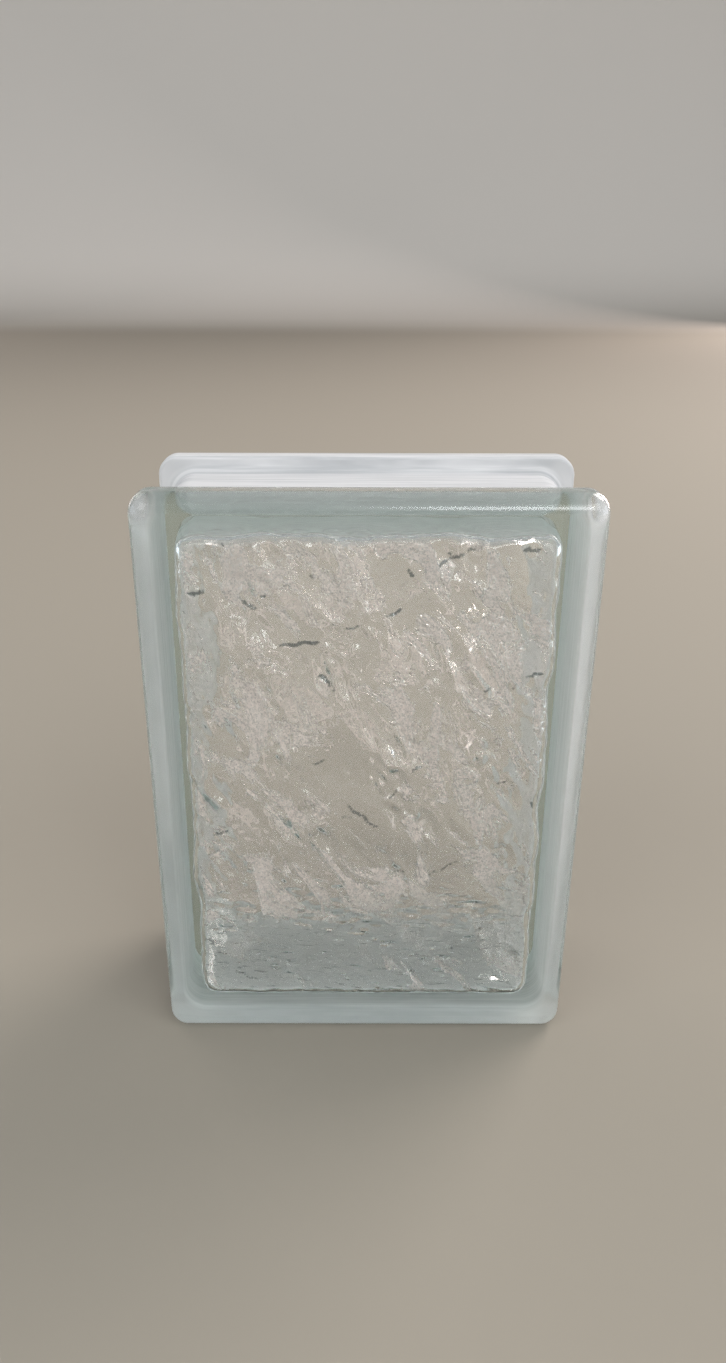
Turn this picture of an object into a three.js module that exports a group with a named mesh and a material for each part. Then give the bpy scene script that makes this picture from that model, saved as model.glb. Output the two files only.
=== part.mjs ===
// Pressed glass block: two hollow half-shells of clear glass, fused rim to rim at mid-depth.
// Units are millimetres and +Z is up. The origin is the centre of the underside.
// X runs along the width and Y through the depth, with the front face at -Y.
import * as THREE from "three";

// Overall size of the block, over its lips.
const blockWidth = 146.05;
const blockHeight = 196.85;
const blockDepth = 79.375;

// Lip: the thick band that frames each face. The edge of the face is rounded generously, and
// the flat face inside the rounding keeps a small corner radius of its own.
const lipDepth = 13;
const faceEdgeRadius = 6;
const faceCornerRadius = 0.6;
const lipRearRadius = 1.5;

// Channel: the recess around the four edges, between the two lips, that takes the mortar.
const channelDepth = 5.5;
const channelDraft = 0.5;
const channelCornerRadius = 8;
const shoulderRadius = 3.5;

// Weld bead: the low ridge that fusing the two rims leaves along the channel floor.
const beadHeight = 0.7;
const beadHalfWidth = 1.6;

// Air space inside each half.
const plateThickness = 7;
const rimThickness = 5.5;
const cavityDraft = 1.4;
const cavityCornerRadius = 5;
const cavityFootRadius = 4;

// Each quarter turn is drawn with twice this many chords.
const cornerFineness = 5;
const roundingFineness = 3;

const glassColour = "#b9c6c1";
const glassRoughness = 0.08;
const glassOpacity = 0.45;

const halfDepth = blockDepth / 2;
const lipCornerRadius = faceEdgeRadius + faceCornerRadius;
const quarterTurn = Math.PI / 2;

// Rounded rectangle that lies a given distance inside the block's width and height.
function outline(inset, cornerRadius) {
  const x = blockWidth / 2 - inset - cornerRadius;
  const y = blockHeight / 2 - inset - cornerRadius;
  const shape = new THREE.Shape();
  shape.absarc(x, y, cornerRadius, 0, quarterTurn);
  shape.absarc(-x, y, cornerRadius, quarterTurn, 2 * quarterTurn);
  shape.absarc(-x, -y, cornerRadius, 2 * quarterTurn, 3 * quarterTurn);
  shape.absarc(x, -y, cornerRadius, 3 * quarterTurn, 4 * quarterTurn);
  shape.closePath();
  return shape.getPoints(cornerFineness);
}

// The section of a half is drawn as paths whose x is the inset from the outline of the block
// and whose y is the level above the seam plane. Along one path the corner radius shrinks by
// as much as the inset grows, so the glass keeps its section around the corners.
function rings(path, insetAtSharpCorner) {
  return path.getPoints(roundingFineness).map((point) => ({
    level: point.y,
    points: outline(point.x, insetAtSharpCorner - point.x),
  }));
}

// Inner surface, from the foot of the plate down the drafted wall to the seam.
function cavityRings(seamInset) {
  const inset = seamInset + rimThickness + cavityDraft;
  const plateLevel = halfDepth - plateThickness;
  const path = new THREE.Path();
  path.absarc(
    inset + cavityFootRadius, plateLevel - cavityFootRadius, cavityFootRadius,
    quarterTurn, 2 * quarterTurn, false);
  path.lineTo(seamInset + rimThickness, 0);
  return rings(path, inset + cavityCornerRadius);
}

// Outer surface of the wall: half the weld bead, the drafted channel floor and the shoulder.
function channelRings(seamInset, lipRear) {
  const footLevel = lipRear - shoulderRadius;
  const beadFoot = seamInset - (channelDraft * beadHalfWidth) / footLevel;
  const path = new THREE.Path();
  path.moveTo(beadFoot - beadHeight, 0);
  path.lineTo(beadFoot - beadHeight, beadHalfWidth - beadHeight);
  path.absarc(
    beadFoot, beadHalfWidth - beadHeight, beadHeight, 2 * quarterTurn, quarterTurn, true);
  path.lineTo(channelDepth, footLevel);
  path.absarc(
    channelDepth - shoulderRadius, footLevel, shoulderRadius, 0, quarterTurn, false);
  return rings(path, channelDepth + channelCornerRadius);
}

// Outer surface of the lip, from its back over its land to the rounded edge of the face.
function lipRings(lipRear) {
  const path = new THREE.Path();
  path.absarc(
    lipRearRadius, lipRear + lipRearRadius, lipRearRadius, 3 * quarterTurn, 2 * quarterTurn, true);
  path.absarc(
    faceEdgeRadius, halfDepth - faceEdgeRadius, faceEdgeRadius, 2 * quarterTurn, quarterTurn, true);
  return rings(path, lipCornerRadius);
}

// One half, standing on its open rim: the seam plane is at level 0 and the face at halfDepth.
// A lathe gives the closed skin, and each of its rings is then laid on its own outline.
function halfShell() {
  const lipRear = halfDepth - lipDepth;
  const seamInset = channelDepth + channelDraft;
  const middle = outline(0, lipCornerRadius).map(() => new THREE.Vector2());
  const stack = [
    { level: halfDepth - plateThickness, points: middle },
    ...cavityRings(seamInset),
    ...channelRings(seamInset, lipRear),
    ...lipRings(lipRear),
    { level: halfDepth, points: middle },
  ];
  const profile = stack.map((ring) => new THREE.Vector2(1, ring.level));
  const geometry = new THREE.LatheGeometry(profile, middle.length - 1);
  const position = geometry.attributes.position;
  stack.forEach((ring, row) => {
    ring.points.forEach((point, column) => {
      position.setXYZ(column * stack.length + row, point.x, point.y, ring.level);
    });
  });
  geometry.computeVertexNormals();
  return geometry;
}

// A half set upright in the block, with its face towards -Y (side -1) or +Y (side 1).
function placedHalf(name, side) {
  const material = new THREE.MeshStandardMaterial({
    color: glassColour,
    roughness: glassRoughness,
    metalness: 0,
    transparent: true,
    opacity: glassOpacity,
  });
  const mesh = new THREE.Mesh(halfShell(), material);
  mesh.name = name;
  mesh.rotation.x = -side * quarterTurn;
  mesh.position.z = blockHeight / 2;
  return mesh;
}

const block = new THREE.Group();
block.add(placedHalf("front_half", -1));
block.add(placedHalf("back_half", 1));

export default block;
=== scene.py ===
# %% [markdown]
# # A pressed glass block
# The block is two deep pressings of clear soda-lime glass, fused rim to rim while hot. What the
# eye meets is glass, an air space, and glass again: so the looks come from real surfaces in the
# right places, with a refracting material, and not from a painted picture of them.

# %% Load the frame
import math

import bmesh
import bpy
import numpy as np
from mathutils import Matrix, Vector


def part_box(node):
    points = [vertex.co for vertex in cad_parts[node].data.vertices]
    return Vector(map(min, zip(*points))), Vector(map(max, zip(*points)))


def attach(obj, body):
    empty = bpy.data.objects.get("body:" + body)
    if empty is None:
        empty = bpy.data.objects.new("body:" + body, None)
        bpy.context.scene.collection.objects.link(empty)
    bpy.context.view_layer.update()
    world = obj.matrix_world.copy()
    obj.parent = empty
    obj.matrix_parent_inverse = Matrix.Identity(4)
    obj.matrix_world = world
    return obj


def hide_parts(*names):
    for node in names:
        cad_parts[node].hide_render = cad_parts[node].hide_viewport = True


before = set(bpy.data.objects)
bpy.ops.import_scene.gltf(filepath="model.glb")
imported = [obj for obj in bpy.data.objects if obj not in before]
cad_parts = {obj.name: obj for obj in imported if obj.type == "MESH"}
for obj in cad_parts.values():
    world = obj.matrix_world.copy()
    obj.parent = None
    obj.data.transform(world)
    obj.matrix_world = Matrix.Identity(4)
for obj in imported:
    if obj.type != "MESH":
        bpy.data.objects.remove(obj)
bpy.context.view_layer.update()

# %% [markdown]
# ## Colours and nodes
# Colours are written as sRGB hex values, as a paint card gives them, and one function turns them
# to the linear values that the shaders add and multiply. A second function adds one node with its
# settings and its links, so that a material reads as a short list.


# %% Helpers for colours and nodes
def linear(code):
    """Linear red, green and blue of an sRGB hex colour."""
    channels = [int(code[i:i + 2], 16) / 255 for i in (1, 3, 5)]
    return [c / 12.92 if c <= 0.04045 else ((c + 0.055) / 1.055) ** 2.4 for c in channels]


def add_node(tree, kind, settings=None, inputs=None):
    """One node with its settings; an input takes a value, a hex colour, or a socket to link."""
    node = tree.nodes.new(kind)
    for name, value in (settings or {}).items():
        setattr(node, name, value)
    for name, value in (inputs or {}).items():
        socket = node.inputs[name]
        if isinstance(value, bpy.types.NodeSocket):
            tree.links.new(value, socket)
        elif isinstance(value, str):
            socket.default_value = (*linear(value), 1)
        else:
            socket.default_value = value
    return node


def new_material(name):
    """An empty node material, with its tree and its output node."""
    material = bpy.data.materials.new(name)
    material.use_nodes = True
    material.node_tree.nodes.clear()
    output = add_node(material.node_tree, "ShaderNodeOutputMaterial")
    return material, material.node_tree, output


print("white as linear:", linear("#ffffff"))

# %% [markdown]
# ## The camera
# The block stands on the floor and is looked at from a little above. The lens is a short one, so
# the block narrows towards its foot. The frame is 726 pixels by 1363, and the lens axis isn't at
# its middle: the small shift of the lens puts the block where it belongs in the frame.

# %% Camera
MM = 0.001
frame_width, frame_height = 726, 1363
focal_pixels = 1122
axis_pixel = (351, 831)
camera_place = (-5.3 * MM, -379.3 * MM, 262.9 * MM)
camera_turn = (62.31, -0.106, 0.046)

camera_data = bpy.data.cameras.new("camera")
camera_data.sensor_width = 36
camera_data.lens = focal_pixels / frame_height * camera_data.sensor_width
camera_data.shift_x = (frame_width / 2 - axis_pixel[0]) / frame_height
camera_data.shift_y = (axis_pixel[1] - frame_height / 2) / frame_height
camera_data.clip_start = 0.01
camera_data.clip_end = 60
camera = bpy.data.objects.new("camera", camera_data)
camera.location = camera_place
camera.rotation_euler = [math.radians(a) for a in camera_turn]
bpy.context.scene.collection.objects.link(camera)
bpy.context.scene.camera = camera
print("lens", round(camera_data.lens, 2), "mm, shift", round(camera_data.shift_y, 4))

# %% [markdown]
# ## The sizes
# Every size is a real one in millimetres. The overall sizes are read from the solids, so that the
# glass that is seen fills the solids that are weighed.

# %% Sizes of the block
front_low, front_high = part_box("front_half")
width = front_high[0] - front_low[0]
height = front_high[2] - front_low[2]
half_depth = front_high[1] - front_low[1]
middle_height = height / 2

lip_depth, lip_corner = 13 * MM, 6.6 * MM
face_edge, lip_rear_edge = 6 * MM, 1.5 * MM
channel_depth, channel_draft = 5.5 * MM, 0.5 * MM
channel_corner, shoulder = 8 * MM, 3.5 * MM
bead_height, bead_half_width = 0.7 * MM, 1.6 * MM
plate_thickness, rim_thickness = 7 * MM, 5.5 * MM
cavity_draft, cavity_corner, cavity_foot = 1.4 * MM, 5 * MM, 4 * MM

seam_inset = channel_depth + channel_draft
lip_rear = half_depth - lip_depth
plate_level = half_depth - plate_thickness
foot_level = lip_rear - shoulder
print("block", [round(v / MM, 2) for v in (width, height, 2 * half_depth)], "mm")

# %% [markdown]
# ## A section carried around the outline
# A pressing is a section, carried around a rectangle with rounded corners. The section is a list of
# pairs: how far in from the outline, and how far from the seam. Each pair becomes a ring of points,
# and neighbouring rings are joined by a strip of faces. A bevelled box could give the outside, but
# not the inside at the same time, and here both are drawn by the same few functions.


# %% Rings and strips
def arc(centre, radius, start, end, steps):
    """Points of a quarter turn in the section, with angles in degrees."""
    angles = np.radians(np.linspace(start, end, steps + 1))
    return [(centre[0] + radius * math.cos(a), centre[1] + radius * math.sin(a)) for a in angles]


def ring(inset, level, sharp_inset, corner_steps, side_steps):
    """Points of a rounded rectangle that lies inset inside the outline of the block.

    The corner would be sharp at sharp_inset. side_steps are the chords of a side along X and Z.
    """
    radius = max(sharp_inset - inset, 0)
    reach_x, reach_z = width / 2 - max(sharp_inset, inset), height / 2 - max(sharp_inset, inset)
    points = []
    for quarter in range(4):
        sign_x, sign_z = ((1, 1), (-1, 1), (-1, -1), (1, -1))[quarter]
        for step in range(corner_steps + 1):
            angle = math.pi / 2 * (quarter + step / corner_steps)
            points.append((sign_x * reach_x + radius * math.cos(angle),
                           sign_z * reach_z + radius * math.sin(angle)))
        steps = side_steps[quarter % 2]
        here = points[-1]
        across = (-2 * reach_x * sign_x, 0) if quarter % 2 == 0 else (0, -2 * reach_z * sign_z)
        points += [(here[0] + across[0] * k / steps, here[1] + across[1] * k / steps)
                   for k in range(1, steps)]
    return [(x, level, z + middle_height) for x, z in points]


class Skin:
    """Points and faces of the glass, gathered before they become a mesh."""

    def __init__(self):
        self.points, self.faces, self.coat = [], [], []

    def add_ring(self, points, coat=0.0):
        """Adds points, each with its share of bond coat, and gives back their numbers."""
        first = len(self.points)
        self.points += points
        self.coat += coat if isinstance(coat, list) else [coat] * len(points)
        return list(range(first, first + len(points)))

    def strip(self, one, other):
        """Joins two rings of the same number of points."""
        for k in range(len(one)):
            after = (k + 1) % len(one)
            self.faces.append((one[k], other[k], other[after], one[after]))


print("points of a plain ring:", len(ring(0, 0, lip_corner, 16, (8, 12))))

# %% [markdown]
# ## The bond coat
# Mortar doesn't grip glass, so the edges of the block are painted with a thin white vinyl film.
# Here it lies as if sprayed from behind: full on the back half and in the channel, and a thin
# overspray on the rear of the front lip. That overspray is drawn thicker near the floor, which
# lightens the foot of the rim as painted light, and thinner at the outer edge on the left, which
# darkens that side as painted shade. The film has no thickness worth modelling. Each point of the
# skin carries its share of the coat instead, and the material reads it.


# %% Share of bond coat
def ramp(value, low, high):
    """0 below low, 1 above high, and a straight rise between."""
    return min(max((value - low) / (high - low), 0), 1)


def coat_share(side, inset, level, x, z):
    """How much of the surface is covered with bond coat at a point of the outer skin.

    side is -1 for the front half and 1 for the back half; inset and level are of the section.
    """
    in_channel = ramp(inset, 0.5 * channel_depth, channel_depth)
    if level > lip_rear + lip_rear_edge + 1e-6:
        # The land and the face of the lip: bare in front, and behind painted up to the rounding.
        over_edge = side > 0 and (inset < 0.4 * MM or half_depth - level < 5 * MM)
        return 0.85 * ramp(half_depth - level, 0.6 * MM, 2.0 * MM) if over_edge else 0.0
    if side > 0:
        return 1.0
    # Thicker near the floor: painted light on the foot of the rim. Thinner at the outer edge on the
    # left: painted shade on that side.
    foot = ramp(16 * MM - z, 0, 10 * MM)
    left = ramp(-x, 0.3 * width, 0.45 * width) * (1 - foot)
    haze_and_painted_light = 0.2 + 0.65 * foot - 0.15 * left * ramp(3 * MM - inset, 0, 2 * MM)
    return haze_and_painted_light + (1 - haze_and_painted_light) * in_channel


print("coat on the rear of the front lip:", coat_share(-1, 0, lip_rear, 0, middle_height))

# %% [markdown]
# ## The outside
# From the face: a rounded edge, the flat land of the lip, the small rounding behind it, the hollow
# shoulder, the channel floor that leans a little so that the pressing leaves its mould, and the
# weld bead at the seam, where the two hot rims were pushed together.

# %% Outer skin
outer_corner_steps, outer_sides = 16, (8, 12)


def bead(level):
    """Height of the weld bead over the floor of the channel at a level from the seam."""
    return bead_height * (0.5 + 0.5 * math.cos(math.pi * min(level / bead_half_width, 1)))


lip_section = (
    arc((face_edge, half_depth - face_edge), face_edge, 90, 180, 16)
    + arc((lip_rear_edge, lip_rear + lip_rear_edge), lip_rear_edge, 180, 270, 6))
channel_section = arc((channel_depth - shoulder, foot_level), shoulder, 90, 0, 8)
floor_levels = [*np.linspace(foot_level, bead_half_width, 6)[1:],
                *np.linspace(bead_half_width, 0, 7)[1:]]
for level in floor_levels:
    floor_inset = seam_inset - channel_draft * level / foot_level
    channel_section.append((floor_inset - bead(level), level))

halves = []
for side in (-1, 1):
    rings = []
    for section, sharp_inset in ((lip_section, lip_corner),
                                 (channel_section, channel_depth + channel_corner)):
        for inset, level in section:
            points = ring(inset, side * level, sharp_inset, outer_corner_steps, outer_sides)
            rings.append((points, [coat_share(side, inset, level, x, z) for x, y, z in points]))
    halves.append(rings)

# The back half runs from its seam to its face, and the ring at the seam is there only once.
skin = Skin()
loops = [skin.add_ring(points, coat) for points, coat in halves[0] + halves[1][::-1][1:]]
for one, other in zip(loops, loops[1:]):
    skin.strip(one, other)
skin.faces.append(tuple(loops[0]))
skin.faces.append(tuple(loops[-1][::-1]))
print("outer skin:", len(skin.points), "points")

# %% [markdown]
# ## The relief of the plates
# The inner face of each plate is cast against a plunger that was worked over with hammer and
# chisel. It has slow waves, bands that run down to the right where the metal was peened finely,
# and short steps where the chisel lifted it. A flat picture would bend nothing. Here the waves
# and the steps are real height, because they bend what is seen through them, and only the fine
# peening is left to the material.


# %% Waves of a plate
def slow_noise(x, z, along, across, lean, seed):
    """Smooth random waves of about unit height, with their lengths along and across a lean."""
    rng = np.random.default_rng(seed)
    c, s = math.cos(math.radians(lean)), math.sin(math.radians(lean))
    u, v = (x * c + z * s) / along, (-x * s + z * c) / across
    total = np.zeros_like(x)
    count = 48
    for _ in range(count):
        direction = rng.uniform(0, 2 * math.pi)
        size = rng.uniform(0.6, 1.4)
        total += np.cos(2 * math.pi * size * (u * math.cos(direction) + v * math.sin(direction))
                        + rng.uniform(0, 2 * math.pi))
    return total / math.sqrt(count / 2)


def plate_relief(x, z, seed):
    """Height in metres of the relief at points of a plate, measured from the pane's centre."""
    lively = np.clip(0.55 + 0.6 * slow_noise(x, z, 45 * MM, 26 * MM, -55, seed + 5), 0.15, 1.3)
    waves = 0.40 * MM * slow_noise(x, z, 40 * MM, 24 * MM, -55, seed)
    waves += 0.45 * MM * np.abs(slow_noise(x, z, 24 * MM, 11 * MM, -57, seed + 1)) * lively
    waves -= 0.28 * MM * np.abs(slow_noise(x, z, 11 * MM, 5.5 * MM, -64, seed + 2)) * lively
    waves += 0.08 * MM * np.abs(slow_noise(x, z, 5 * MM, 3.2 * MM, -45, seed + 3))
    # The foot of the plate is calmer, and its waves lie nearly level there.
    low = np.clip((-25 * MM - z) / (15 * MM), 0, 1)
    waves *= 1 - 0.5 * low
    waves += 0.26 * MM * low * np.abs(slow_noise(x, z, 16 * MM, 3.6 * MM, -5, seed + 4))
    return waves


front_seed, back_seed, wall_seed = 11, 47, 5
sample_x, sample_z = np.meshgrid(np.linspace(-50, 50, 41) * MM, np.linspace(-75, 75, 61) * MM)
sample = plate_relief(sample_x.ravel(), sample_z.ravel(), front_seed)
print("front waves from", round(sample.min() / MM, 2), "to", round(sample.max() / MM, 2), "mm")

# %% [markdown]
# ## Chisel steps
# Where the chisel dug into the plunger, the glass has a short step: steep on one side, and fading
# away on the other. The glass is drawn grey in the foot of the steps. Both follow the same lines,
# so a single table holds them, and one helper measures along and across a line.

# %% Chisel steps of the front plate
# Middle in mm from the centre of the pane, length in mm, lean in degrees, and strength.
front_steps = [
    (-21.6, 51.0, 12, 6, 1.0), (21.0, 75.7, 8, 27, 0.9), (26.6, -31.1, 13, 31, 0.6),
    (-1.5, -10.4, 12, -39, 0.9), (-6.8, -10.8, 4, 4, 0.5), (-37.4, 63.7, 5, -20, 1.0),
    (27.0, 79.4, 5, 0, 0.9), (50.1, 81.1, 5, 7, 1.0), (-43.8, -76.5, 8, -22, 0.6),
    (-51.5, -73.6, 4, -3, 0.5), (8.4, 61.3, 5, 22, 0.8), (-53.9, 67.5, 5, 0, 1.0),
    (-4.4, -41.2, 9, 10, 0.5), (-4.3, 56.8, 6, 10, 0.6), (-50.2, -17.0, 6, 28, 0.7),
    (17.0, 7.7, 4, 21, 0.8), (56.3, -42.7, 8, -67, 0.5), (32.3, 81.6, 5, 19, 0.7),
    (13.2, 73.9, 3, -41, 1.0), (53.9, 40.7, 5, 7, 0.9), (37.4, -27.2, 5, 25, 0.5),
    (-13.8, 38.9, 5, -40, 1.0), (-11.1, 35.8, 2, -14, 0.6), (19.1, -23.8, 6, -25, 0.5),
    (56.5, -5.7, 4, -47, 0.7), (6.8, -38.8, 7, 33, 0.4), (51.8, -31.8, 5, -11, 0.5),
    (-22.5, -48.5, 5, -1, 0.5), (9.0, -2.0, 4, 39, 0.6), (-25.5, 69.5, 4, 30, 0.6),
    (-44.0, 81.9, 3, -28, 0.6), (-17.2, 73.0, 2, -18, 0.7), (45.6, 2.6, 4, 11, 0.6),
    (47.5, -29.0, 5, 0, 0.5), (11.6, -32.6, 5, 15, 0.6), (-16.1, 9.7, 4, 15, 0.7),
    (-32.9, 66.2, 2, -9, 0.8), (39.1, 36.0, 3, 26, 0.6), (47.9, 37.1, 3, 49, 0.6),
    (40.6, -56.0, 4, 21, 0.5), (24.3, -47.9, 4, 28, 0.4), (31.9, -64.4, 4, -3, 0.4),
    (45.7, -22.3, 4, 6, 0.5), (-20.3, -32.7, 4, -18, 0.4)]
step_height = 0.5 * MM


def beside_a_step(x, z, step, stretch):
    """Distance in mm across a chisel line that wanders a little, and how far its ends reach."""
    middle_x, middle_z, length, lean, _ = step
    c, s = math.cos(math.radians(lean)), math.sin(math.radians(lean))
    u = (x / MM - middle_x) * c + (z / MM - middle_z) * s
    v = -(x / MM - middle_x) * s + (z / MM - middle_z) * c
    v = v + 0.35 * np.sin(u * 0.9 + middle_x)
    ends = np.clip(1 - (2 * np.abs(u) / (length * stretch)) ** 4, 0, 1)
    return v, ends


def chisel_steps(x, z):
    """Height of the steps: each rises sharply along its line, and sinks back slowly above it."""
    total = np.zeros_like(x)
    for step in front_steps:
        v, ends = beside_a_step(x, z, step, 1.2)
        face = 1 / (1 + np.exp(-np.clip(v / 0.22, -40, 40)))
        total += step[-1] * step_height * ends * face * np.exp(-np.clip(v, 0, None) / 3.0)
    return total


def grey_strokes(x, z):
    """How grey the glass is drawn in the foot of each step."""
    total = np.zeros_like(x)
    for step in front_steps:
        v, ends = beside_a_step(x, z, step, 1.3)
        total = np.maximum(total, step[-1] * ends * np.exp(-(v / 0.65) ** 2))
    return total


print("chisel steps:", len(front_steps), "up to", step_height / MM, "mm high")

# %% [markdown]
# ## The inside
# The cavity is a second closed skin inside the first, with its faces turned the other way, so that
# a ray that crosses it leaves the glass. Its walls lean for the mould too, wander in and out a
# little, and meet the plates in a rounded foot.

# %% Section of the cavity
cell = 0.8 * MM
cavity_inset = seam_inset + rim_thickness + cavity_draft
rim_of_plate = cavity_inset + cavity_foot
pane_corner = 4.5 * MM
sharp = rim_of_plate + pane_corner
cells_x = round((width - 2 * sharp) / cell)
cells_z = round((height - 2 * sharp) / cell)
inner_corner_steps = 14
wall_top = plate_level - cavity_foot

wall_levels = [*np.linspace(0, bead_half_width, 4), *np.linspace(bead_half_width, wall_top, 6)[1:]]
cavity_section = [(seam_inset + rim_thickness + cavity_draft * level / wall_top, level)
                  for level in wall_levels]
cavity_section += arc((rim_of_plate, wall_top), cavity_foot, 180, 90, 8)[1:]
cavity_section += [(inset, plate_level) for inset in np.linspace(rim_of_plate, sharp, 6)[1:]]


def sharp_corner(inset):
    """Where the corner of a ring would be sharp: the corners open out along the foot."""
    along_foot = float(np.clip((inset - cavity_inset) / cavity_foot, 0, 1))
    return (1 - along_foot) * (cavity_inset + cavity_corner) + along_foot * sharp


def relief_share(inset):
    """How much of the relief a ring has: none on the wall, all of it a little inside the foot."""
    t = float(np.clip((inset - cavity_inset) / (rim_of_plate + 1.5 * MM - cavity_inset), 0, 1))
    return t ** 2 * (3 - 2 * t)


def wavy_wall(inset, level, seed):
    """A ring of the inside, pushed in and out a little, as a plunger worked by hand leaves it."""
    corner = sharp_corner(inset)
    sides = (cells_x, cells_z)
    here = np.array(ring(inset, level, corner, inner_corner_steps, sides))
    inwards = np.array(ring(inset + 0.5 * MM, level, corner, inner_corner_steps, sides)) - here
    inwards /= np.maximum(np.linalg.norm(inwards, axis=1), 1e-9)[:, None]
    x, z = here[:, 0], here[:, 2]
    push = (0.5 * MM * slow_noise(x, z, 26 * MM, 26 * MM, 0, seed)
            + 0.15 * MM * slow_noise(x + level, z - level, 8 * MM, 8 * MM, 0, seed + 1))
    # The push fades out along the plate, towards the seam, and near the bottom of the block.
    share = (float(np.clip((rim_of_plate + 2 * MM - inset) / (2 * MM), 0, 1))
             * min(abs(level) / plate_level, 1) ** 2)
    push *= 1 - 0.7 * np.clip((30 * MM - z) / (12 * MM), 0, 1)
    return [tuple(p) for p in here + inwards * (push * share)[:, None]]


def shaped(points, side, share, seed):
    """Moves points of a plate by its relief, towards the air space where it is high."""
    xyz = np.array(points)
    x, z = xyz[:, 0], xyz[:, 2] - middle_height
    lift = plate_relief(x, z, seed)
    if side < 0:
        lift = lift + chisel_steps(x, z)
    xyz[:, 1] -= side * lift * share
    return [tuple(p) for p in xyz]


print("cells of a plate:", cells_x, "by", cells_z, "rings of a half:", len(cavity_section))

# %% Walls of the cavity
inner = []
for side, seed in ((-1, front_seed), (1, back_seed)):
    inner.append([shaped(wavy_wall(inset, side * level, wall_seed), side, relief_share(inset), seed)
                  for inset, level in cavity_section])
front_loops = [skin.add_ring(points) for points in inner[0]]
back_loops = [front_loops[0]] + [skin.add_ring(points) for points in inner[1][1:]]
for one, other in zip(front_loops, front_loops[1:]):
    skin.strip(one, other)
for one, other in zip(back_loops, back_loops[1:]):
    skin.strip(other, one)
print("with the walls of the cavity:", len(skin.points), "points")

# %% [markdown]
# ## The plates
# Each plate is a fine grid, 0.8 mm to a cell, that starts from the last ring of the wall. That
# ring is a plain rectangle: the points of each of its corners coincide, and are joined later.


# %% Plates
def side_of_ring(edge, start, cells):
    """The points of one straight side of a ring, from corner to corner."""
    return (edge + edge)[start:start + cells + 1]


xs = np.linspace(width / 2 - sharp, -(width / 2 - sharp), cells_x + 1)
zs = np.linspace(height / 2 - sharp, -(height / 2 - sharp), cells_z + 1)
inside = [(i, j) for j in range(1, cells_z) for i in range(1, cells_x)]
for loops, side, seed in ((front_loops, -1, front_seed), (back_loops, 1, back_seed)):
    edge, corner = loops[-1], inner_corner_steps
    top = side_of_ring(edge, corner, cells_x)
    left = side_of_ring(edge, 2 * corner + cells_x, cells_z)
    bottom = side_of_ring(edge, 3 * corner + cells_x + cells_z, cells_x)
    right = side_of_ring(edge, 4 * corner + 2 * cells_x + cells_z, cells_z)
    grid = {}
    for i in range(cells_x + 1):
        grid[i, 0], grid[i, cells_z] = top[i], bottom[cells_x - i]
    for j in range(1, cells_z):
        grid[cells_x, j], grid[0, j] = left[j], right[cells_z - j]
    flat = [(xs[i], side * plate_level, zs[j] + middle_height) for i, j in inside]
    grid.update(zip(inside, skin.add_ring(shaped(flat, side, 1.0, seed))))
    for j in range(cells_z):
        for i in range(cells_x):
            quad = (grid[i, j], grid[i, j + 1], grid[i + 1, j + 1], grid[i + 1, j])
            skin.faces.append(quad if side < 0 else quad[::-1])
print("whole skin:", len(skin.points), "points,", len(skin.faces), "faces")

# %% [markdown]
# ## Pressed soda-lime glass: the peening
# The glass is common bottle glass, pressed hot. It is clear, so the eye sees what is behind it,
# bent by the relief. Where the plunger was peened, in bands that lean with the waves, the glass is
# covered with small pits. The real ones are finer than the render can show, so the bump has a
# grain of 1.5 mm, and is as deep as that grain needs. The peened glass is also a little frosted:
# it scatters light onward and back, in specks of 0.9 mm, and gives the bands their whitish tone.

# %% Material: peened bands
material, tree, output = new_material("pressed_soda_lime_glass")
place = add_node(tree, "ShaderNodeTexCoord").outputs["Object"]
on_plate = add_node(tree, "ShaderNodeAttribute", {"attribute_name": "patterned"})

band_lean = math.radians(57)
band_size = (26 * MM, 60 * MM, 12 * MM)
bands = add_node(tree, "ShaderNodeMapping", {"vector_type": "TEXTURE"},
                 {"Vector": place, "Rotation": (0, band_lean, 0), "Scale": band_size})
band_noise = add_node(tree, "ShaderNodeTexNoise", {"noise_dimensions": "3D"},
                      {"Vector": bands.outputs["Vector"], "Scale": 1.0, "Detail": 5.0,
                       "Roughness": 0.68, "Distortion": 0.7})
band_mask = add_node(tree, "ShaderNodeMapRange", {},
                     {"Value": band_noise.outputs["Fac"], "From Min": 0.525, "From Max": 0.56})
peened = add_node(tree, "ShaderNodeMath", {"operation": "MULTIPLY"},
                  {0: band_mask.outputs["Result"], 1: on_plate.outputs["Fac"]})

pit_grain, pit_depth = 1.5 * MM, 1.7 * MM
pits = add_node(tree, "ShaderNodeTexNoise", {"noise_dimensions": "3D"},
                {"Vector": place, "Scale": 1 / pit_grain, "Detail": 2.5, "Roughness": 0.6,
                 "Distortion": 0.3})
centred = add_node(tree, "ShaderNodeMath", {"operation": "SUBTRACT"},
                   {0: pits.outputs["Fac"], 1: 0.5})
pit_height = add_node(tree, "ShaderNodeMath", {"operation": "MULTIPLY"},
                      {0: centred.outputs["Value"], 1: peened.outputs["Value"]})
bump = add_node(tree, "ShaderNodeBump", {},
                {"Strength": 1.0, "Distance": pit_depth, "Height": pit_height.outputs["Value"]})
print("peened bands", band_size[2] / MM, "mm wide, pits of", pit_grain / MM, "mm")

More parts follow.
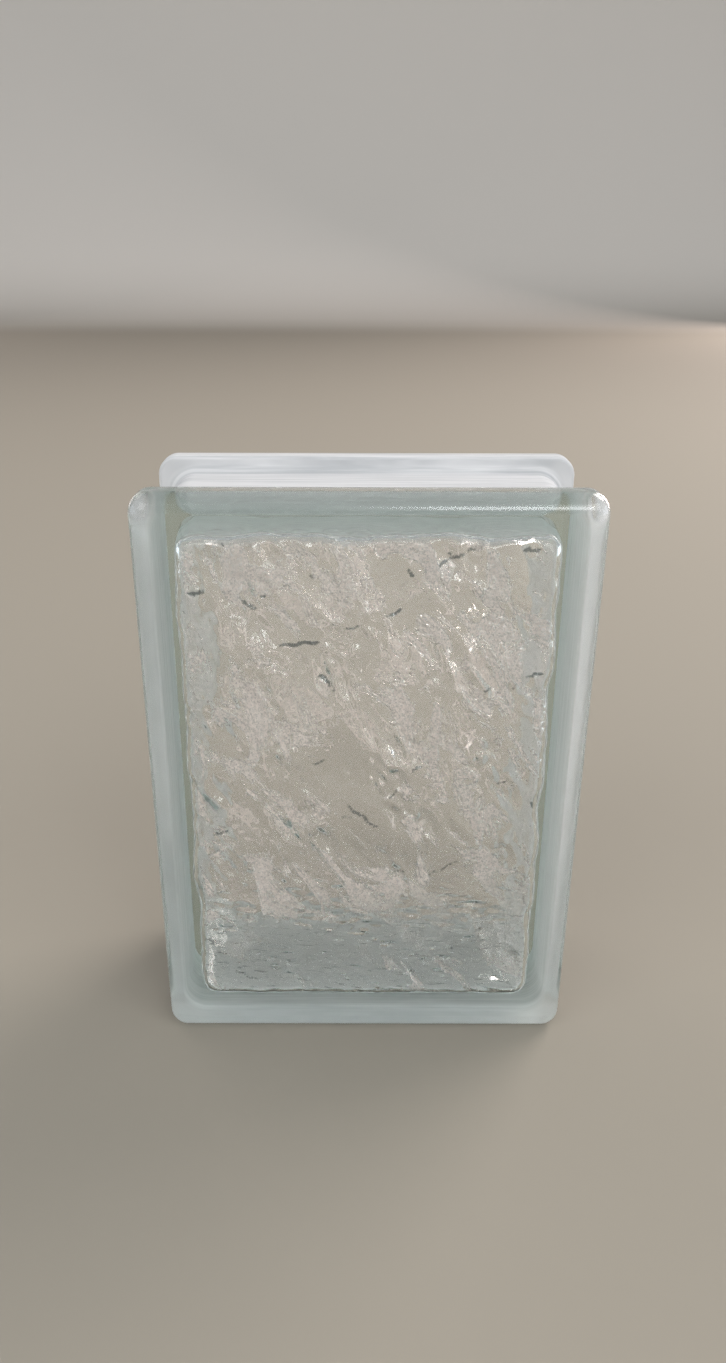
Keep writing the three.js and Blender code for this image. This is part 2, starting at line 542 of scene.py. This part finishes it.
# %% Material: frost in the bands
frost_grain = 0.9 * MM
frost_colour, share_backward = "#fff3ee", 0.4
frost_mask = add_node(tree, "ShaderNodeMapRange", {},
                      {"Value": band_noise.outputs["Fac"], "From Min": 0.53, "From Max": 0.58,
                       "To Min": 0.1, "To Max": 0.9})
specks = add_node(tree, "ShaderNodeTexNoise", {"noise_dimensions": "3D"},
                  {"Vector": place, "Scale": 1 / frost_grain, "Detail": 1.5, "Roughness": 0.6,
                   "Distortion": 1.2})
mottle = add_node(tree, "ShaderNodeMapRange", {},
                  {"Value": specks.outputs["Fac"], "From Min": 0.35, "From Max": 0.6,
                   "To Min": 0.5, "To Max": 1.0})
mottled = add_node(tree, "ShaderNodeMath", {"operation": "MULTIPLY"},
                   {0: frost_mask.outputs["Result"], 1: mottle.outputs["Result"]})
frosted = add_node(tree, "ShaderNodeMath", {"operation": "MULTIPLY"},
                   {0: mottled.outputs["Value"], 1: on_plate.outputs["Fac"]})
onward = add_node(tree, "ShaderNodeBsdfTranslucent", {}, {"Color": frost_colour})
backward = add_node(tree, "ShaderNodeBsdfDiffuse", {}, {"Color": frost_colour})
scatter = add_node(tree, "ShaderNodeMixShader", {},
                   {0: share_backward, 1: onward.outputs[0], 2: backward.outputs[0]})
print("frost in specks of", frost_grain / MM, "mm")

# %% [markdown]
# ## Grey strokes
# The glass is drawn grey in the foot of the chisel steps, as short dark strokes, and in faint,
# nearly level streaks over the foot of the front plate. The grey is a thin tint that the glass
# takes on, and its edge is ragged.

# %% Material: grey strokes
stroke_grain = 1.2 * MM
streak_size = (7 * MM, 40 * MM, 1.0 * MM)
strokes = add_node(tree, "ShaderNodeAttribute", {"attribute_name": "grey_strokes"})
ragged = add_node(tree, "ShaderNodeTexNoise", {"noise_dimensions": "3D"},
                  {"Vector": place, "Scale": 1 / stroke_grain, "Detail": 2.0})
stroke_edge = add_node(tree, "ShaderNodeMath", {"operation": "MULTIPLY_ADD"},
                       {0: ragged.outputs["Fac"], 1: -1.0, 2: strokes.outputs["Fac"]})
stroke_mask = add_node(tree, "ShaderNodeMapRange", {},
                       {"Value": stroke_edge.outputs["Value"], "From Min": -0.25,
                        "From Max": 0.08})
drawn = add_node(tree, "ShaderNodeMapping", {"vector_type": "TEXTURE"},
                 {"Vector": place, "Rotation": (0, math.radians(6), 0), "Scale": streak_size})
drawn_noise = add_node(tree, "ShaderNodeTexNoise", {"noise_dimensions": "3D"},
                       {"Vector": drawn.outputs["Vector"], "Scale": 1.0, "Detail": 3.0,
                        "Roughness": 0.6, "Distortion": 0.4})
drawn_mask = add_node(tree, "ShaderNodeMapRange", {},
                      {"Value": drawn_noise.outputs["Fac"], "From Min": 0.60, "From Max": 0.67,
                       "To Min": 0.0, "To Max": 0.65})
at_foot = add_node(tree, "ShaderNodeAttribute", {"attribute_name": "foot"})
drawn_share = add_node(tree, "ShaderNodeMath", {"operation": "MULTIPLY"},
                       {0: drawn_mask.outputs["Result"], 1: at_foot.outputs["Fac"]})
grey_share = add_node(tree, "ShaderNodeMath", {"operation": "MAXIMUM"},
                       {0: drawn_share.outputs["Value"], 1: stroke_mask.outputs["Result"]})
print("level grey streaks", streak_size[0] / MM, "by", streak_size[2] / MM, "mm")

# %% [markdown]
# ## Clear glass
# Soda-lime glass bends light with an IOR of 1.52. It is a little green where the eye looks through
# much of it, so the surface has no colour of its own, and an absorption inside the body gives the
# green of the thick lip. The face is fire-polished. The rim left the mould a little dull, so it is
# rougher.

# %% Material: clear glass
rim = add_node(tree, "ShaderNodeAttribute", {"attribute_name": "rim"})
polish = add_node(tree, "ShaderNodeMapRange", {},
                  {"Value": rim.outputs["Fac"], "To Min": 0.03, "To Max": 0.16})
# The glass is tinted grey along the strokes and the level streaks.
greyed = add_node(tree, "ShaderNodeMix", {"data_type": "RGBA"},
                   {"Factor": grey_share.outputs["Value"], 6: "#ffffff", 7: "#4a5557"})
glass = add_node(tree, "ShaderNodeBsdfPrincipled", {},
                 {"Base Color": greyed.outputs[2], "Roughness": polish.outputs["Result"],
                  "IOR": 1.52, "Transmission Weight": 1.0, "Normal": bump.outputs["Normal"]})
peened_glass = add_node(tree, "ShaderNodeMixShader", {},
                        {0: frosted.outputs["Value"], 1: glass.outputs[0], 2: scatter.outputs[0]})
tint = add_node(tree, "ShaderNodeVolumeAbsorption", {}, {"Color": "#a7cfca", "Density": 9.0})
tree.links.new(tint.outputs[0], output.inputs["Volume"])
print("glass of IOR", round(glass.inputs["IOR"].default_value, 3))

# %% [markdown]
# ## The film of bond coat
# The coat is a thin matt vinyl film, brushed or sprayed along the channel, so it has faint long
# streaks of 1.1 mm. It lies on glass, and is seen from both sides: from outside it is drawn a
# slightly grey white, which is painted shade, and from inside a cleaner white. A little light
# comes through it.

# %% Material: bond coat
brush_size = (45 * MM, 1.1 * MM, 45 * MM)
# The grey of the outside tones is painted shade; the inside tones are the white of the film.
shaded_coat_outside, coat_inside = ("#b2b3b6", "#d2d1d3"), ("#e4e6e5", "#fafafa")
share_through = 0.15
brushed = add_node(tree, "ShaderNodeMapping", {"vector_type": "TEXTURE"},
                   {"Vector": place, "Scale": brush_size})
streaks = add_node(tree, "ShaderNodeTexNoise", {"noise_dimensions": "3D"},
                   {"Vector": brushed.outputs["Vector"], "Scale": 1.0, "Detail": 3.0,
                    "Roughness": 0.6})
streak_mask = add_node(tree, "ShaderNodeMapRange", {},
                       {"Value": streaks.outputs["Fac"], "From Min": 0.35, "From Max": 0.62})
from_inside = add_node(tree, "ShaderNodeNewGeometry").outputs["Backfacing"]
shaded_outer_tone, inner_tone = [
    add_node(tree, "ShaderNodeMix", {"data_type": "RGBA"},
             {"Factor": streak_mask.outputs["Result"], 6: dull, 7: bright}).outputs[2]
    for dull, bright in (shaded_coat_outside, coat_inside)]
coat_tone = add_node(tree, "ShaderNodeMix", {"data_type": "RGBA"},
                     {"Factor": from_inside, 6: shaded_outer_tone, 7: inner_tone})
coat_matt = add_node(tree, "ShaderNodeBsdfDiffuse", {}, {"Color": coat_tone.outputs[2]})
coat_glow = add_node(tree, "ShaderNodeBsdfTranslucent", {}, {"Color": "#f4f4f4"})
film = add_node(tree, "ShaderNodeMixShader", {},
                {0: share_through, 1: coat_matt.outputs[0], 2: coat_glow.outputs[0]})
coat = add_node(tree, "ShaderNodeAttribute", {"attribute_name": "bond_coat"})
surface = add_node(tree, "ShaderNodeMixShader", {},
                   {0: coat.outputs["Fac"], 1: peened_glass.outputs[0], 2: film.outputs[0]})
tree.links.new(surface.outputs[0], output.inputs["Surface"])
print("nodes in the glass and its coat:", len(tree.nodes))

# %% [markdown]
# ## Where each finish lies
# The material reads five maps that lie on the points of the mesh: the bond coat, the dull rim, the
# patterned part of the plates, the grey strokes, and the foot of the front plate, where the level
# grey streaks lie. They are worked out from the place of each point, so no picture has to be
# wrapped around the block.

# %% Maps on the points
positions = np.array(skin.points)
first_inner = front_loops[0][0]
is_inner = np.arange(len(positions)) >= first_inner
on_face = np.abs(np.abs(positions[:, 1]) - half_depth) < 1e-7
in_front = positions[:, 1] < 0

# How far each point lies inside the outline, as the rings of the cavity count it.
from_x = np.abs(positions[:, 0]) - (width / 2 - sharp)
from_z = np.abs(positions[:, 2] - middle_height) - (height / 2 - sharp)
inset_of = sharp - (np.hypot(np.maximum(from_x, 0), np.maximum(from_z, 0))
                    + np.minimum(np.maximum(from_x, from_z), 0))

# The peening thins out over the foot of the plate, thickens at its very end, and is a little
# thinner on the left.
pane_z = (positions[:, 2] - middle_height) / MM
right_side = np.clip(positions[:, 0] / MM / 60, -1, 1)
patterned = is_inner * np.clip((inset_of - (cavity_inset + 1.5 * MM)) / (2.0 * MM), 0, 1)
patterned *= (1 - 0.75 * np.clip((-38 + 8 * right_side - pane_z) / 14, 0, 1)
              + 0.35 * np.clip((-66 - pane_z) / 10, 0, 1)
              - 0.14 * np.clip(0.3 - right_side, 0, 1) * np.clip((pane_z + 20) / 30, 0, 1))
on_front_plate = (patterned > 0) & in_front
strokes_of = np.zeros(len(positions))
strokes_of[on_front_plate] = grey_strokes(positions[on_front_plate, 0],
                                       positions[on_front_plate, 2] - middle_height)
maps = {
    "bond_coat": np.array(skin.coat),
    "rim": (~is_inner & ~on_face).astype(float),
    "patterned": patterned,
    "foot": on_front_plate * np.clip((-34 + 6 * right_side - pane_z) / 12, 0, 1),
    "grey_strokes": strokes_of}
print("mean of each map:", {name: round(float(values.mean()), 3) for name, values in maps.items()})

# %% [markdown]
# ## The piece
# Both skins are one mesh, because glass is a body: a ray has to know when it is inside. The
# corners of the plates, where points coincide, are joined here, and the volume is measured to see
# that the skins close. The edges are rounded by real geometry, so smooth shading does the rest.

# %% Make the piece
mesh = bpy.data.meshes.new("glass_block")
mesh.from_pydata(skin.points, [], skin.faces)
mesh.update()
for name, values in maps.items():
    mesh.attributes.new(name, "FLOAT", "POINT").data.foreach_set("value", values.tolist())
mesh.materials.append(material)
mesh.shade_smooth()
mesh.set_sharp_from_angle(angle=math.radians(50))

bm = bmesh.new()
bm.from_mesh(mesh)
bmesh.ops.remove_doubles(bm, verts=bm.verts, dist=1e-7)
print("glass", round(bm.calc_volume() * 1e6, 1), "cm3, open edges",
      sum(e.is_boundary for e in bm.edges), "odd edges", sum(not e.is_manifold for e in bm.edges))
bm.to_mesh(mesh)
bm.free()

block = bpy.data.objects.new("glass_block", mesh)
bpy.context.scene.collection.objects.link(block)
weighted = block.modifiers.new("flat faces stay flat", "WEIGHTED_NORMAL")
weighted.keep_sharp = True
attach(block, "root")
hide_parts("front_half", "back_half")
mesh.calc_loop_triangles()
print("triangles", len(mesh.loop_triangles))

# %% [markdown]
# ## The floor and the backdrop
# Clear glass takes its tone from what is behind it. The floor is one sheet that curves up into the
# back wall. It is a mid beige where it shows through the block, and pale further in front, where
# the block mirrors it, and on the wall. It lies a hair under the block, because two surfaces in
# exactly the same place would flicker.

# %% Floor and backdrop
beige, pale = "#8c867c", "#e6e0d9"
middle_of_beige = 1.65
beige_half, pale_half = 1.85, 3.3
floor_material, floor_tree, floor_output = new_material("studio_floor")
floor_place = add_node(floor_tree, "ShaderNodeTexCoord").outputs["Object"]
along = add_node(floor_tree, "ShaderNodeSeparateXYZ", {}, {0: floor_place})
off_centre = add_node(floor_tree, "ShaderNodeMath", {"operation": "SUBTRACT"},
                      {0: along.outputs["Y"], 1: middle_of_beige})
distance = add_node(floor_tree, "ShaderNodeMath", {"operation": "ABSOLUTE"},
                    {0: off_centre.outputs["Value"]})
fade = add_node(floor_tree, "ShaderNodeMapRange", {"interpolation_type": "SMOOTHSTEP"},
                {"Value": distance.outputs["Value"], "From Min": beige_half,
                 "From Max": pale_half})
shade = add_node(floor_tree, "ShaderNodeMix", {"data_type": "RGBA"},
                 {"Factor": fade.outputs["Result"], 6: beige, 7: pale})
matt_paint = add_node(floor_tree, "ShaderNodeBsdfPrincipled", {},
                      {"Base Color": shade.outputs[2], "Roughness": 0.9,
                       "Specular IOR Level": 0.1})
floor_tree.links.new(matt_paint.outputs[0], floor_output.inputs["Surface"])

under = 0.1 * MM
floor_front, curve_start, curve_radius, wall_top_z, half_floor = -6.0, 4.0, 2.0, 6.0, 8.0
profile = [(floor_front, -under), (curve_start, -under)]
profile += [(curve_start + curve_radius * math.sin(math.radians(a)),
             curve_radius - curve_radius * math.cos(math.radians(a)) - under)
            for a in range(6, 91, 6)]
profile.append((curve_start + curve_radius, wall_top_z))
points = [(x, y, z) for y, z in profile for x in (-half_floor, half_floor)]
faces = [(2 * k, 2 * k + 1, 2 * k + 3, 2 * k + 2) for k in range(len(profile) - 1)]
floor_mesh = bpy.data.meshes.new("studio_floor")
floor_mesh.from_pydata(points, [], faces)
floor_mesh.materials.append(floor_material)
floor_mesh.shade_smooth()
floor = bpy.data.objects.new("studio_floor", floor_mesh)
bpy.context.scene.collection.objects.link(floor)
print("floor", 2 * half_floor, "by", curve_start + curve_radius - floor_front, "m")

# %% [markdown]
# ## The light
# All lamps are large, so the light is soft. Two windows behind the block, the right one stronger,
# shine through the pane and wake its relief. Two lamps high behind it light the white back edge.
# Two panels light the sides. In front, a lamp to each side of the axis lights the rim: a broad one
# on the axis would be mirrored on the top edge as a zigzag, so only a small window stays there, for
# the bright line along that edge.

# %% World
daylight, daylight_strength = "#eef2f6", 0.5
world = bpy.data.worlds.new("studio")
world.use_nodes = True
bpy.context.scene.world = world
background = world.node_tree.nodes["Background"]
background.inputs["Color"].default_value = (*linear(daylight), 1)
background.inputs["Strength"].default_value = daylight_strength
print("daylight", daylight_strength)

# %% Lamps
block_middle, block_below = (0, 0, 0.1), (0, 0, 0.08)
warm, soft_warm, cool, neutral, greenish = "#fff2ee", "#fff8f2", "#e8f4ff", "#fafcff", "#fafdfa"

# Name, place in metres, what it is aimed at, width and height in metres, watts, and colour.
lamps = [
    ("left_window", (-2.4, 3.2, 0.8), block_middle, (2.2, 1.4), 16, warm),
    ("right_window", (2.4, 3.2, 0.8), block_middle, (2.2, 1.4), 96, warm),
    ("high_left", (-1.5, 1.3, 1.9), block_middle, (1.5, 1.1), 10, soft_warm),
    ("high_right", (1.5, 1.3, 1.9), block_middle, (1.5, 1.1), 46, soft_warm),
    ("left_panel", (-2.2, -0.1, 0.45), block_middle, (1.8, 1.0), 7, cool),
    ("right_panel", (2.2, -0.1, 0.45), block_middle, (1.8, 1.0), 10, cool),
    ("front_window", (0.55, -2.2, 1.4), block_middle, (0.8, 0.8), 16, neutral),
    ("front_left", (-1.8, -2.1, 2.0), block_below, (2.2, 2.0), 38, greenish),
    ("front_right", (1.8, -2.1, 2.0), block_below, (2.2, 2.0), 46, greenish)]
for name, place, aim, size, watts, colour in lamps:
    lamp = bpy.data.lights.new(name, "AREA")
    lamp.shape = "RECTANGLE"
    lamp.size, lamp.size_y = size
    lamp.energy = watts
    lamp.color = linear(colour)
    stand = bpy.data.objects.new(name, lamp)
    stand.location = place
    stand.rotation_mode = "QUATERNION"
    stand.rotation_quaternion = (Vector(aim) - Vector(place)).to_track_quat("-Z", "Y")
    bpy.context.scene.collection.objects.link(stand)
print("lamps:", len(lamps), "with", sum(lamp[4] for lamp in lamps), "W")

# %% [markdown]
# ## How the light is counted
# A ray that looks through both plates crosses four surfaces, and one that is caught in the lip many
# more, so it is allowed many bounces. The denoiser takes its guides as they are, because smoothing
# them first would smear the fine relief. Colours are shown as they are, with no film look.

# %% Bounces and view
scene = bpy.context.scene
scene.view_settings.view_transform = "Standard"
scene.cycles.denoising_prefilter = "NONE"
scene.cycles.max_bounces = 32
scene.cycles.transmission_bounces = 32
scene.cycles.glossy_bounces = 12
scene.cycles.diffuse_bounces = 6
print("bounces", scene.cycles.max_bounces, "view", scene.view_settings.view_transform)
